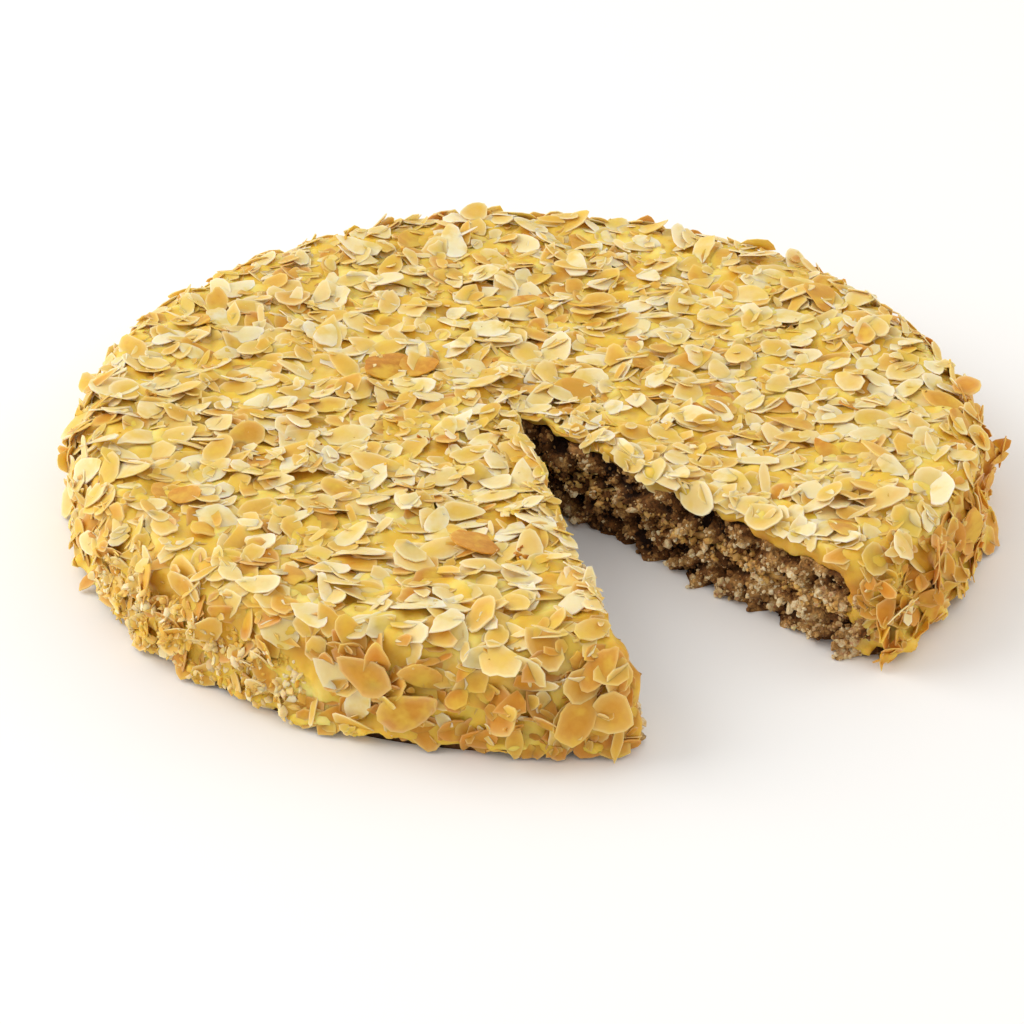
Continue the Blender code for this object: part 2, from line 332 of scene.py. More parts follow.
def turned(name, profile, material):
    """A profile of (radius, height) points from the top of the axis to its foot, turned full circle."""
    bm = bmesh.new()
    points = [bm.verts.new((radius, 0.0, height)) for radius, height in profile]
    for one, other in zip(points, points[1:]):
        bm.edges.new((one, other))
    obj = object_from_bmesh(name, bm, material)
    screw = obj.modifiers.new("Turn", "SCREW")
    screw.steps = TURNED_STEPS
    screw.render_steps = TURNED_STEPS
    screw.use_merge_vertices = True
    screw.merge_threshold = 1e-5
    apply_modifiers(obj)
    return obj


def wave(point, length, depth, seed):
    """Smooth unevenness from -depth to +depth, about length from crest to crest."""
    return 1.6 * depth * noise.noise(point / length + Vector((seed, seed, seed)))


def cream_outline():
    """The cream's outer face as (radius, height) points from the middle of the top to the lower edge."""
    top = [
        (RIM_CREST_RADIUS * share, CENTRE_HEIGHT + (RIM_HEIGHT - CENTRE_HEIGHT) * share**2)
        for share in np.linspace(0.0, 1.0, TOP_POINTS)
    ]
    power = 2.0 / SHOULDER_SQUARENESS
    rise = RIM_HEIGHT - CREAM_WIDEST_HEIGHT
    fall = (CREAM_WIDEST_HEIGHT - CREAM_LOWER_EDGE) / math.sin(math.radians(TUCK_DEGREES)) ** power
    side = []
    shoulder = np.linspace(88.0, 0.0, SHOULDER_POINTS)
    tuck = np.linspace(3.0, TUCK_DEGREES, TUCK_POINTS) * -1
    for degrees in (*shoulder, *tuck):
        angle = math.radians(abs(degrees))
        radius = RIM_CREST_RADIUS + (CREAM_RADIUS - RIM_CREST_RADIUS) * math.cos(angle) ** power
        height = CREAM_WIDEST_HEIGHT + (rise if degrees > 0 else -fall) * math.sin(angle) ** power
        side.append((radius, height))
    return top + side


def layer_radius(height):
    return BASE_RADIUS - LAYER_DRAW_IN * height / UPPER_LAYER_TOP


def layer_profile(bottom, top, shoulder=0.0):
    """A layer from the middle of its top to the middle of its base, its upper edge slanted off."""
    side = [(layer_radius(top) - SHOULDER_SLOPE * shoulder, top)]
    if shoulder:
        side.append((layer_radius(top - shoulder), top - shoulder))
    return [(0.0, top), *side, (layer_radius(bottom), bottom), (0.0, bottom)]


def cream_lining():
    """The coat's inner face, a gap clear of the layers that it covers."""
    shoulder_foot = UPPER_LAYER_TOP - LAYER_SHOULDER
    inner_top = UPPER_LAYER_TOP + LAYER_GAP
    rim_radius = layer_radius(UPPER_LAYER_TOP) - SHOULDER_SLOPE * LAYER_SHOULDER
    return [
        (layer_radius(CREAM_LOWER_EDGE) + LAYER_GAP, CREAM_LOWER_EDGE),
        (layer_radius(shoulder_foot) + LAYER_GAP, shoulder_foot + LAYER_GAP),
        (rim_radius + LAYER_GAP, inner_top),
        (0.0, inner_top),
    ]


def cut_direction(left):
    angle = math.radians(LEFT_CUT_DEGREES if left else RIGHT_CUT_DEGREES)
    return Vector((math.cos(angle), math.sin(angle), 0.0))


def into_cake(left):
    """The level direction that leads from the gap into the cake through one of its walls."""
    direction = cut_direction(left)
    return direction.cross(UP) if left else UP.cross(direction)


def corner_lean(distance, height):
    """How far the left wall slumps out into the gap, low down and far from the apex."""
    lowness = max(0.0, 1.0 - (max(height, 0.0) / RIM_HEIGHT) ** 2)
    return LEFT_CORNER_LEAN * lowness * min(distance / CREAM_RADIUS, 1.0) ** 2


def corner_rounding(distance):
    """How far the right wall's outer end is rounded off into the cake."""
    return max(0.0, distance - CORNER_ROUND_FROM) ** 2 / (2 * CORNER_ROUNDING)


def wall_reach(left, radius):
    """How far from the apex a wall meets a circle round the cake's middle."""
    offset = CUT_APEX.dot(cut_direction(left))
    return math.sqrt(offset**2 - CUT_APEX.length_squared + radius**2) - offset


def cut_wall(distance, height, left, relief):
    """A point of one wall of the gap, at a distance from the apex and a height over the table.

    relief takes that point and left, and gives how far the wall stands back
    into the cake there.
    """
    point = CUT_APEX + cut_direction(left) * distance + UP * height
    opened = min(1.0, distance / CUT_OPENS_OVER)
    offset = relief(point, left)
    offset += -corner_lean(distance, height) if left else corner_rounding(distance)
    return point + into_cake(left) * (KNIFE_THICKNESS / 2 + opened * offset)


def cream_relief(point, left):
    """The cut cream: smooth, and it stands a little into the gap."""
    return wave(point, 9 * MM, 0.6 * MM, 12.0 if left else 7.0) - CREAM_OVERHANG


def filling_relief(point, left):
    """The cut filling: torn, and mostly standing back from the macaroon."""
    return 0.9 * MM + wave(point, 5 * MM, 1.4 * MM, 17.0 if left else 9.0)


def macaroon_relief(point, left):
    """The cut macaroon: torn crags, small crumbs on them, and hollows right under the cream."""
    seed = 12.0 if left else 7.0
    crags = wave(point, CRAG_SIZE, CRAG_DEPTH, seed)
    crumbs = wave(point, 1.5 * MM, 0.9 * MM, seed + 20.0)
    under_cream = max(0.0, 1.0 - abs(point.z - HOLLOW_HEIGHT) / HOLLOW_REACH)
    hollow = max(0.0, wave(Vector((point.x, point.y, 0.0)), HOLLOW_LENGTH, HOLLOW_DEPTH, seed + 5.0))
    return crags + crumbs + hollow * under_cream + 0.3 * MM


def slice_cutter(name, step, relief):
    """The missing slice as a block whose two long walls carry the cut's relief."""
    steps_along = round(CUT_LENGTH / step)
    steps_up = round(CUT_HEIGHT / step)
    bm = bmesh.new()
    bmesh.ops.create_grid(bm, x_segments=steps_along, y_segments=steps_up, size=0.5)
    bmesh.ops.translate(bm, verts=bm.verts, vec=(0.5, 0.5, 0.0))
    grown = bmesh.ops.extrude_face_region(bm, geom=bm.faces[:])
    left_wall = [item for item in grown["geom"] if isinstance(item, bmesh.types.BMVert)]
    bmesh.ops.translate(bm, verts=left_wall, vec=UP)
    for vert in bm.verts:
        distance = vert.co.x * CUT_LENGTH
        height = vert.co.y * CUT_HEIGHT - CUT_BELOW
        vert.co = cut_wall(distance, height, vert.co.z > 0.5, relief)
    bmesh.ops.recalc_face_normals(bm, faces=bm.faces)
    return object_from_bmesh(name, bm)


def cut(obj, cutter):
    boolean = obj.modifiers.new("Slice", "BOOLEAN")
    boolean.operation = "DIFFERENCE"
    boolean.object = cutter
    apply_modifiers(obj)


def in_gap(point):
    """Whether a point lies in the missing slice, seen from above."""
    spot = point - CUT_APEX
    return max(spot.dot(into_cake(False)), spot.dot(into_cake(True))) < 0.0


def add_lump(bm, centre, radii, turn):
    """A rounded lump: a ball drawn out to three radii and turned about the vertical."""
    made = bmesh.ops.create_icosphere(bm, subdivisions=3, radius=1.0)
    for vert in made["verts"]:
        vert.co = Vector(centre) + turn @ Vector(np.multiply(vert.co, radii))


# Lumps of cream on the cut: along the lip from the apex out, and up the outer corners
LIP_FROM = 6 * MM
LIP_TO = 100 * MM
LIP_HEIGHTS = (1.0, 4.2)
LIP_STEPS = (0.7, 2.2)
CORNER_LUMP_HEIGHTS = np.arange(1.8, 22.0, 0.55) * MM
CORNER_LUMP_SETBACKS = (-1.0, 6.5)


def add_cut_lumps(bm, draw):
    """Lumps of cream that sag over the cut crumb along both walls and wrap round their outer ends."""
    for left in (False, True):
        inward = into_cake(left)
        turn = Quaternion(UP, math.atan2(cut_direction(left).y, cut_direction(left).x))
        distance = LIP_FROM
        while distance < LIP_TO:
            size = 0.4 + 0.7 * draw.random() ** 2.0
            height = UPPER_LAYER_TOP + draw.uniform(*LIP_HEIGHTS) * MM
            centre = cut_wall(distance, height, left, cream_relief) + inward * draw.uniform(0.5, 1.6) * MM
            radii = draw.uniform((1.1, 1.2, 1.1), (2.6, 2.2, 2.2)) * size * MM
            add_lump(bm, centre, radii, turn @ Quaternion((0.0, 1.0, 0.0), draw.uniform(-0.5, 0.5)))
            distance += draw.uniform(*LIP_STEPS) * MM
        for height in CORNER_LUMP_HEIGHTS:
            distance = wall_reach(left, layer_radius(height)) - draw.uniform(*CORNER_LUMP_SETBACKS) * MM
            centre = cut_wall(distance, height, left, cream_relief) + inward * draw.uniform(0.2, 0.9) * MM
            radii = draw.uniform((1.3, 1.1, 1.2), (2.6, 1.7, 2.2)) * MM
            add_lump(bm, centre, radii, turn)


# Thick dollops on the rim: degrees round the cake, radius, height and size in mm
RIM_DOLLOPS = (
    (-78.0, 102.3, 2.6, 2.3),
    (-80.2, 103.6, 2.8, 2.5),
    (-80.5, 98.5, 20.5, 3.6),
    (-83.8, 100.5, 19.5, 3.2),
    (-87.5, 101.0, 20.0, 3.4),
    (-92.0, 101.5, 19.5, 2.8),
    (-24.3, 96.5, 22.5, 2.8),
    (-38.0, 99.0, 19.0, 3.0),
)


def add_rim_dollops(bm):
    """Cream that stands out thickly at the rim, over the corners of the cut."""
    for degrees, radius, height, size in RIM_DOLLOPS:
        angle = math.radians(degrees)
        centre = Vector((radius * math.cos(angle), radius * math.sin(angle), height)) * MM
        add_lump(bm, centre, np.array((0.9, 1.25, 0.85)) * size * MM, Quaternion(UP, angle))


def add_rim_lumps(bm, draw):
    """The ragged lower edge of the cream, round the foot of the side."""
    for degrees in np.arange(0.0, 360.0, 2.1):
        angle = math.radians(degrees + draw.uniform(-0.7, 0.7))
        radius = draw.uniform(103.8, 106.4) * MM
        centre = Vector((radius * math.cos(angle), radius * math.sin(angle), draw.uniform(1.9, 3.6) * MM))
        if in_gap(centre + into_cake(True) * -2 * MM) or in_gap(centre):
            continue
        radii = np.array((draw.uniform(0.9, 1.6), draw.uniform(1.6, 3.4), draw.uniform(0.9, 1.7))) * MM
        add_lump(bm, centre, radii, Quaternion(UP, angle))


# The spread cream's waves: length, depth and seed each
CREAM_RIPPLES = ((16 * MM, 0.6 * MM, 3.0), (5 * MM, 0.75 * MM, 31.0), (2.4 * MM, 0.35 * MM, 47.0))
FULL_RIPPLE_HEIGHT = 4 * MM


def ripple(obj, octaves):
    """Moves every point along its normal by a sum of waves, calmer near the table."""
    mesh = obj.data
    normals = [vert.normal.copy() for vert in mesh.vertices]
    for vert, normal in zip(mesh.vertices, normals):
        place = vert.co.copy()
        depth = sum(wave(place, length, size, seed) for length, size, seed in octaves)
        vert.co = place + normal * depth * min(1.0, max(place.z, 0.0) / FULL_RIPPLE_HEIGHT)


# Where the cream is painted orange-brown: this far from the cut and below this height, partly soaking and
# partly painted shade, and a band of painted shade round the side
SOAK_AND_SHADE_DEPTH = 3.5 * MM
SOAK_AND_SHADE_BELOW = 24.5 * MM
SOAK_AND_SHADE_FADE = 4.5 * MM
SHADE_BAND_HEIGHT = 18 * MM
SHADE_BAND_REACH = 6 * MM
SHADE_BAND_STRENGTH = 0.7
DEEPEST_BROWN = 0.85


def tint_soak_and_shade(mesh):
    """Marks where the cream is painted orange-brown: in the cut, partly soaking and partly painted shade,
    and as painted shade in patches under the shoulder.
    """
    amounts = np.ones((len(mesh.vertices), 4), dtype=np.float32)
    for vert in mesh.vertices:
        depth = depth_in_cake(vert.co)[0]
        below = min(1.0, max(0.0, (SOAK_AND_SHADE_BELOW - vert.co.z) / SOAK_AND_SHADE_FADE))
        in_cut = min(1.0, max(0.0, 1.0 - depth / SOAK_AND_SHADE_DEPTH)) * below
        # Painted shade: a band round the side under the shoulder, away from the cut.
        near_band = max(0.0, 1.0 - abs(vert.co.z - SHADE_BAND_HEIGHT) / SHADE_BAND_REACH)
        shade_band = SHADE_BAND_STRENGTH * near_band * (depth > 0.0)
        uneven = 0.6 + wave(vert.co, 5 * MM, 0.6, 71.0)
        amounts[vert.index, :3] = min(DEEPEST_BROWN, max(0.0, max(in_cut, shade_band) * uneven))
    mesh.color_attributes.new("soaked", "FLOAT_COLOR", "POINT").data.foreach_set("color", amounts.ravel())


def make_cream(material, cutter, draw):
    """The whole coat as one soft body: spread top and side, sagging cut edges and a ragged foot."""
    cream = turned("cream_spread", cream_outline() + cream_lining(), material)
    cut(cream, cutter)
    bm = bmesh.new()
    bm.from_mesh(cream.data)
    add_cut_lumps(bm, draw)
    add_rim_dollops(bm)
    add_rim_lumps(bm, draw)
    bm.to_mesh(cream.data)
    bm.free()
    remesh = cream.modifiers.new("One body", "REMESH")
    remesh.mode = "VOXEL"
    remesh.voxel_size = CREAM_GRAIN
    remesh.use_smooth_shade = True
    smooth = cream.modifiers.new("Soften", "SMOOTH")
    smooth.factor = 0.5
    smooth.iterations = 3
    apply_modifiers(cream)
    ripple(cream, CREAM_RIPPLES)
    tint_soak_and_shade(cream.data)
    return cream


@dataclass
class FlakeKind:
    """One kind of almond piece.

    Lengths and thicknesses are in mm, widths are shares of the length, tip_up
    is in degrees, and share, tones, toasts and pointed go from 0 to 1.
    """

    name: str
    share: float
    lengths: tuple
    widths: tuple
    tones: tuple
    toasts: tuple
    pointed: tuple = (0.1, 0.5)
    breaks: int = 0
    tip_up: float = 12.0
    thickness: tuple = (0.24, 0.4)
    points: int = 16


PALE, GOLDEN, TOASTED, BROKEN, SLIVERS, CHIPS = range(6)
FLAKE_KINDS = (
    FlakeKind("pale_flakes", 0.21, (7.4, 11.8), (0.48, 0.7), (0.0, 0.4), (0.0, 0.02), tip_up=9.5),
    FlakeKind("golden_flakes", 0.13, (7.4, 11.8), (0.48, 0.7), (0.35, 0.7), (0.0, 0.08), tip_up=9.5),
    FlakeKind("toasted_flakes", 0.015, (7.0, 10.5), (0.5, 0.7), (0.5, 0.9), (0.25, 0.5), tip_up=9.5),
    FlakeKind(
        "broken_flakes", 0.4, (5.5, 11.8), (0.42, 0.8), (0.0, 0.6), (0.0, 0.06),
        pointed=(0.0, 0.4), breaks=2, tip_up=12.5, points=12,
    ),
    FlakeKind(
        "almond_slivers", 0.245, (4.5, 10.0), (0.14, 0.36), (0.0, 0.65), (0.0, 0.15),
        pointed=(0.0, 0.3), breaks=1, tip_up=16.0, points=12,
    ),
    FlakeKind(
        "almond_chips", 0.0, (2.4, 5.5), (0.4, 0.9), (0.0, 0.7), (0.0, 0.15),
        pointed=(0.0, 0.2), breaks=2, points=8,
    ),
)

# Rings of a flake from the middle of its upper face to its lower edge: the share of the outline,
# the height as a share of half its thickness, and how much it is pale rim
FLAKE_RINGS = ((0.45, 1.0, 0.0), (0.82, 1.0, 0.3), (0.985, 0.85, 1.0), (1.0, -0.7, 1.0))
RIM_STRENGTH = 0.42

# An uneven outline: the spread of its points, waves as turns and depth, and breaks
OUTLINE_SPREAD = 0.035
OUTLINE_WAVES = ((2, 0.07), (3, 0.06), (5, 0.04))
BREAK_ODDS = 0.8
BREAK_REACH = (0.15, 0.7)
BREAK_RAGGEDNESS = 0.08

# A flake's warp as curl, cup and twist, and how much deeper its tone is in the middle and at one end
WARP_SPREADS = (0.5, 0.9, 0.35)
MIDDLE_DEEPER = 0.25
END_DEEPER = 0.15


def flake_outline(kind, draw):
    """Points round an almond's cut face, one end drawn in, some of them with a piece broken off."""
    length = draw.uniform(*kind.lengths) * MM
    width = length * draw.uniform(*kind.widths)
    pointed = draw.uniform(*kind.pointed)
    around = np.linspace(0.0, math.tau, kind.points, endpoint=False)
    sine, cosine = np.sin(around), np.cos(around)
    towards_tip = (1.0 + cosine) / 2
    across = sine * np.abs(sine) ** (pointed * towards_tip) * (1.0 - pointed * 0.4 * cosine)
    outline = np.stack((width / 2 * across, length / 2 * cosine), axis=1)
    uneven = 1.0 + draw.normal(0.0, OUTLINE_SPREAD, kind.points)
    for turns, depth in OUTLINE_WAVES:
        uneven += depth * np.sin(around * turns + draw.uniform(0.0, math.tau))
    outline *= uneven[:, None]
    for _ in range(kind.breaks):
        if draw.random() < BREAK_ODDS:
            angle = draw.uniform(0.0, math.tau)
            towards = np.array((math.cos(angle), math.sin(angle)))
            reach = draw.uniform(*BREAK_REACH) * np.max(outline @ towards)
            outline = clipped(outline, towards, reach, draw)
    return outline


def clipped(outline, towards, reach, draw):
    """Draws in what lies beyond a straight, slightly ragged break."""
    beyond = outline @ towards
    ragged = reach * (1.0 + BREAK_RAGGEDNESS * draw.uniform(-1.0, 1.0, len(outline)))
    shrink = np.where(beyond > ragged, ragged / np.maximum(beyond, 1e-9), 1.0)
    return outline * shrink[:, None]


def flake_triangles(count):
    """Triangles of a flake with count points round it: two fans and the strips between its rings."""
    rings = len(FLAKE_RINGS)
    last = 1 + rings * count
    made = []
    for step in range(count):
        after = (step + 1) % count
        made.append((0, 1 + after, 1 + step))
        for ring in range(rings - 1):
            inner = 1 + ring * count
            outer = inner + count
            made.append((inner + step, inner + after, outer + step))
            made.append((inner + after, outer + after, outer + step))
        edge = last - count
        made.append((last, edge + step, edge + after))
    return np.array(made)


FLAKE_TRIANGLES = {kind.points: flake_triangles(kind.points) for kind in FLAKE_KINDS}


def flake_body(outline, kind, golden, draw):
    """Points and tints of a flake lying flat: thin and softly curled, its tone shifted by golden, which
    carries the cream's colour and painted shade.
    """
    half = draw.uniform(*kind.thickness) * MM / 2
    points = [(0.0, 0.0, half)]
    rims = [0.0]
    for share, side, rim in FLAKE_RINGS:
        points.extend((x * share, y * share, side * half) for x, y in outline)
        rims.extend([rim] * len(outline))
    points.append((0.0, 0.0, -half))
    rims.append(0.0)
    points = np.array(points)
    reach = np.max(np.abs(outline))
    along = points[:, 1] / reach
    across = points[:, 0] / reach
    curl, cup, twist = draw.normal(0.0, WARP_SPREADS) * reach / 6
    points[:, 2] += curl * along**2 + cup * across**2 + twist * along * across * 2
    tone = draw.uniform(*kind.tones) + golden
    toast = draw.uniform(*kind.toasts)
    lean = draw.uniform(-0.5, 0.5)
    rims = np.array(rims)
    middle = np.clip(1.0 - rims, 0.0, 1.0)
    tints = np.ones((len(points), 4))
    tints[:, 0] = np.clip(tone + MIDDLE_DEEPER * middle + END_DEEPER * lean * along, 0.0, 1.0)
    # Where golden paints shade, the pale rim is made weaker.
    tints[:, 1] = rims * RIM_STRENGTH * draw.uniform(0.3, 1.0) * (1.0 - 0.6 * np.clip(golden, 0.0, 1.0))
    tints[:, 2] = np.clip(toast * (1.0 + lean * along), 0.0, 1.0)
    return points, tints


def outline_table():
    """The cream's outline, its length from the middle and its slope, for placing things on it."""
    outline = np.array(cream_outline())
    runs = np.diff(outline, axis=0)
    lengths = np.concatenate(([0.0], np.cumsum(np.hypot(*runs.T))))
    slopes = np.gradient(outline, lengths, axis=0)
    return lengths, outline, slopes


LENGTHS, OUTLINE, SLOPES = outline_table()


def on_cream(run, angle):
    """A point of the cream and the way out of it, run metres from the middle along the outline."""
    radius, height, along, down = (
        np.interp(run, LENGTHS, column) for column in (*OUTLINE.T, *SLOPES.T)
    )
    round_cake = Vector((math.cos(angle), math.sin(angle), 0.0))
    outward = (round_cake * -down + UP * along).normalized()
    return round_cake * radius + UP * height, outward


def spread_spots(draw, spacing, tries, keep):
    """Spots all over the cream, no two closer than spacing, as (point, outward)."""
    spots = []
    placed = np.empty((0, 3))
    weights = OUTLINE[:, 0] * np.gradient(LENGTHS)
    odds = np.cumsum(weights) / np.sum(weights)
    for _ in range(tries):
        run = np.interp(draw.random(), odds, LENGTHS)
        angle = draw.uniform(-math.pi, math.pi)
        point, outward = on_cream(run, angle)
        if not keep(point):
            continue
        if len(placed) and np.min(np.sum((placed - np.array(point)) ** 2, axis=1)) < spacing**2:
            continue
        spots.append((point, outward))
        placed = np.vstack((placed, np.array(point)))
    return spots


CLEAR_OF_CUT = 0.6 * MM
PROBE_SHARE = 0.72
PROBE_HEIGHT = 14 * MM
STEEPEST_ON_TOP = 24.0
STEEPER_ON_SIDE = 20.0
STANDING_SHARE = 0.55
FEWEST_PROBES = 4
LOWEST = 0.5 * MM

# A flake rests on the mean of what it touches, but mostly on the highest
HIGHEST_SHARE = 0.8
MEAN_SHARE = 0.2

# What the knife leaves of a flake over the gap in mm, and how little a flake that it spares leads into it
KNIFE_LEAVES = (-0.5, 0.8)
FACING_GAP = 0.3

# Bare cream on the side: degrees round the cake, height, half width and half height in mm
BARE_PATCHES = (
    (-116.5, 13.0, 8.5, 5.0),
    (-95.5, 10.0, 3.0, 3.5),
)


def depth_in_cake(point):
    """How far a point is from the gap, and whether the left wall is the near one."""
    spot = point - CUT_APEX
    depths = {left: spot.dot(into_cake(left)) for left in (False, True)}
    distance = spot.dot(cut_direction(True))
    if distance > 0.0:
        depths[True] += corner_lean(distance, point.z)
    left = depths[True] > depths[False]
    return depths[left], left


def takes_flakes(point):
    """Flakes lie everywhere but in the gap and on the bare patches."""
    if depth_in_cake(point)[0] < CLEAR_OF_CUT:
        return False
    angle = math.degrees(math.atan2(point.y, point.x))
    if math.hypot(point.x, point.y) < RIM_CREST_RADIUS:
        return True
    for degrees, height, half_width, half_height in BARE_PATCHES:
        across = math.radians(angle - degrees) * CREAM_RADIUS / (half_width * MM)
        up = (point.z - height * MM) / (half_height * MM)
        if across**2 + up**2 < 1.0:
            return False
    return True


def knife_cut(outline, point, across, along, draw):
    """Takes off what a flake holds out over the gap, but for a little."""
    depth, left = depth_in_cake(point)
    towards_gap = -into_cake(left)
    local_gap = np.array((towards_gap.dot(across), towards_gap.dot(along)))
    flatness = np.linalg.norm(local_gap)
    if flatness < FACING_GAP:
        return outline
    reach = (depth + draw.uniform(*KNIFE_LEAVES) * MM) / flatness
    return clipped(outline, local_gap / flatness, reach, draw)


def settle(point, outward, spin, outline, ground, sink, tip, draw, lean=None):
    """Lays a flake on what is under it and gives its origin, its three axes and its outline.

    spin turns its length away from the level line round the cake. A flake with
    a lean stands up by that slope across its width instead of lying down.
    """
    level = UP.cross(Vector((point.x, point.y, 0.0))).normalized()
    along = Quaternion(outward, spin) @ (level - outward * level.dot(outward)).normalized()
    across = along.cross(outward)
    if lean is None:
        outline = knife_cut(outline, point, across, along, draw)
    rows, heights = [], []
    for x, y in [(0.0, 0.0), *(outline[::2] * PROBE_SHARE)]:
        start = point + across * x + along * y + outward * PROBE_HEIGHT
        hits = [tree.ray_cast(start, -outward)[3] for tree in ground]
        hits = [distance for distance in hits if distance is not None and distance < 2 * PROBE_HEIGHT]
        if hits:
            rows.append((1.0, x, y))
            heights.append(PROBE_HEIGHT - min(hits))
    if len(rows) < FEWEST_PROBES:
        return None
    rows, heights = np.array(rows), np.array(heights)
    if lean is None:
        slope = np.linalg.lstsq(rows, heights, rcond=None)[0][1:] + draw.normal(0.0, tip, 2)
        steepest = math.tan(math.radians(STEEPEST_ON_TOP + STEEPER_ON_SIDE * (1.0 - outward.z)))
        slope *= min(1.0, steepest / max(np.linalg.norm(slope), 1e-9))
        rest = heights - rows[:, 1:] @ slope
        lift = HIGHEST_SHARE * np.max(rest) + MEAN_SHARE * np.mean(rest) - sink
    else:
        slope = np.array((lean, 0.0))
        lift = heights[0] + STANDING_SHARE * abs(lean) * np.max(outline[:, 0]) - sink
    normal = (outward - across * slope[0] - along * slope[1]).normalized()
    along = (along - normal * along.dot(normal)).normalized()
    return point + outward * lift, along.cross(normal), along, normal, outline


def place_body(points, frame_of):
    origin, across, along, normal = (np.array(vector) for vector in frame_of)
    placed = origin + points[:, :1] * across + points[:, 1:2] * along + points[:, 2:] * normal
    lowest = placed[:, 2].min()
    if lowest < LOWEST:
        placed[:, 2] += LOWEST - lowest
    return placed


def tree_of(bodies):
    """A search tree over flakes, to lay the next ones on."""
    points = np.concatenate([points for points, _ in bodies])
    triangles = []
    first = 0
    for placed, _ in bodies:
        around = (len(placed) - 2) // len(FLAKE_RINGS)
        triangles.append(FLAKE_TRIANGLES[around] + first)
        first += len(placed)
    triangles = np.concatenate(triangles)
    return BVHTree.FromPolygons(points.tolist(), triangles.tolist())


# Layer by layer from the cream up: how deep flakes sink in mm, and how golden they are, partly what the
# cream has given them and partly painted shade for the lower layers that lie in the hollows
LOWER_FLAKES = ((1.0, 0.4), (0.85, 0.35), (0.75, 0.25), (0.65, 0.15), (0.55, 0.1))
UPPER_FLAKES = ((0.4, 0.0), (0.3, 0.0), (0.2, 0.0))
FLAKE_SPACING = 7.0 * MM
DARTS = 7500
# Painted shade on the side: how much more golden its flakes are made, how much more on the right, and its
# spread
SIDE_SHADE_GOLD = 0.58
RIGHT_SHADE_GOLD = 0.65
SIDE_SHADE_SPREAD = (0.1, 1.5)
WHOLE_ON_SIDE = 0.45
CALM_HEIGHT = 9 * MM


def foot_calm(height):
    """Near the table flakes lie closer to the side: 0 at the foot to 1 from half way up."""
    return min(1.0, max(0.0, height - CREAM_LOWER_EDGE) / CALM_HEIGHT)


def side_shade_gold(outward):
    """Painted shade: flakes on the side are made more golden than on the top, and most of all on the right,
    away from the lamp on the left.
    """
    return SIDE_SHADE_GOLD * (1.0 - max(0.0, outward.z)) * (1.0 + RIGHT_SHADE_GOLD * outward.x)


def lay_one(laid, ground, kind, spot, spin, sink, tip, draw, golden=0.0, lean=None):
    """Makes a flake of a kind, lays it at a spot and gives its body, or none where nothing carries it."""
    point, outward = spot
    outline = flake_outline(kind, draw)
    rested = settle(point, outward, spin, outline, ground, sink * MM, tip, draw, lean)
    if rested is None:
        return None
    # Painted shade: flakes on the side, most of all on the right, are made more golden.
    golden += side_shade_gold(outward) * draw.uniform(*SIDE_SHADE_SPREAD)
    points, tints = flake_body(rested[4], kind, golden, draw)
    body = place_body(points, rested[:4]), tints
    laid[kind.name].append(body)
    return body


def strew_layers(laid, ground, layers, draw):
    """Strews the cream with almonds, layer on layer, each flake resting on those below it."""
    shares = np.array([kind.share for kind in FLAKE_KINDS])
    for sink, golden in layers:
        bodies = []
        for spot in spread_spots(draw, FLAKE_SPACING, DARTS, takes_flakes):
            kind = FLAKE_KINDS[draw.choice(len(FLAKE_KINDS), p=shares / shares.sum())]
            on_side = 1.0 - max(0.0, spot[1].z)
            if not kind.breaks and on_side > 0.5 and draw.random() > WHOLE_ON_SIDE:
                kind = FLAKE_KINDS[BROKEN]
            calm = foot_calm(spot[0].z)
            tip = math.tan(math.radians(kind.tip_up)) * (1.0 + on_side) * (0.25 + 0.75 * calm)
            spin = draw.uniform(0.0, math.tau)
            depth = (sink + on_side * (0.5 - 0.4 * calm)) * draw.uniform(0.6, 1.4)
            bodies.append(lay_one(laid, ground, kind, spot, spin, depth, tip, draw, golden))
        ground.append(tree_of([body for body in bodies if body]))


# Flakes on the edges of the cut: from and to as distances from the apex, how far over the edge they
# lean in degrees on the right and the left, and their insets, steps and drop
EDGE_KINDS = (PALE, BROKEN, BROKEN, SLIVERS, CHIPS, CHIPS)
EDGE_FROM = 18.5 * MM
EDGE_TO = 99 * MM
EDGE_LEANS = ((10.0, 75.0), (10.0, 40.0))
EDGE_INSETS = (0.3, 2.6)
EDGE_STEPS = (0.5, 2.4)
EDGE_DROP = 1.8 * MM


def edge_flakes(laid, ground, draw):
    """Flakes and bits that lean over the edges of the cut, some pressed into its cream by the knife."""
    bodies = []
    for left in (False, True):
        distance = EDGE_FROM
        while distance < EDGE_TO:
            kind = FLAKE_KINDS[draw.choice(EDGE_KINDS)]
            over = math.radians(draw.uniform(*EDGE_LEANS[left]))
            outward = (UP * math.cos(over) - into_cake(left) * math.sin(over)).normalized()
            inset = into_cake(left) * draw.uniform(*EDGE_INSETS) * MM
            edge = CUT_APEX + cut_direction(left) * distance + inset
            radii, heights = OUTLINE[:TOP_POINTS].T
            height = np.interp(edge.length, radii, heights) - EDGE_DROP * math.sin(over)
            spot = edge + UP * height, outward
            spin = draw.uniform(0.0, math.tau)
            bodies.append(lay_one(laid, ground, kind, spot, spin, 0.25, 0.2, draw))
            distance += draw.uniform(*EDGE_STEPS) * MM
    ground.append(tree_of([body for body in bodies if body]))


CORNER_CORE_RADIUS = 93 * MM
CORNER_CORE_DEPTH = 12 * MM
CORNER_FLAKES = 55
CORNER_KINDS = (BROKEN, BROKEN, SLIVERS, CHIPS)
CORNER_LENGTHS = (3.0, 7.0)
CORNER_TURNS = (0.3, 0.75)
CORNER_HEIGHTS = (3.5, 21.0)
CORNER_SINK = 0.5


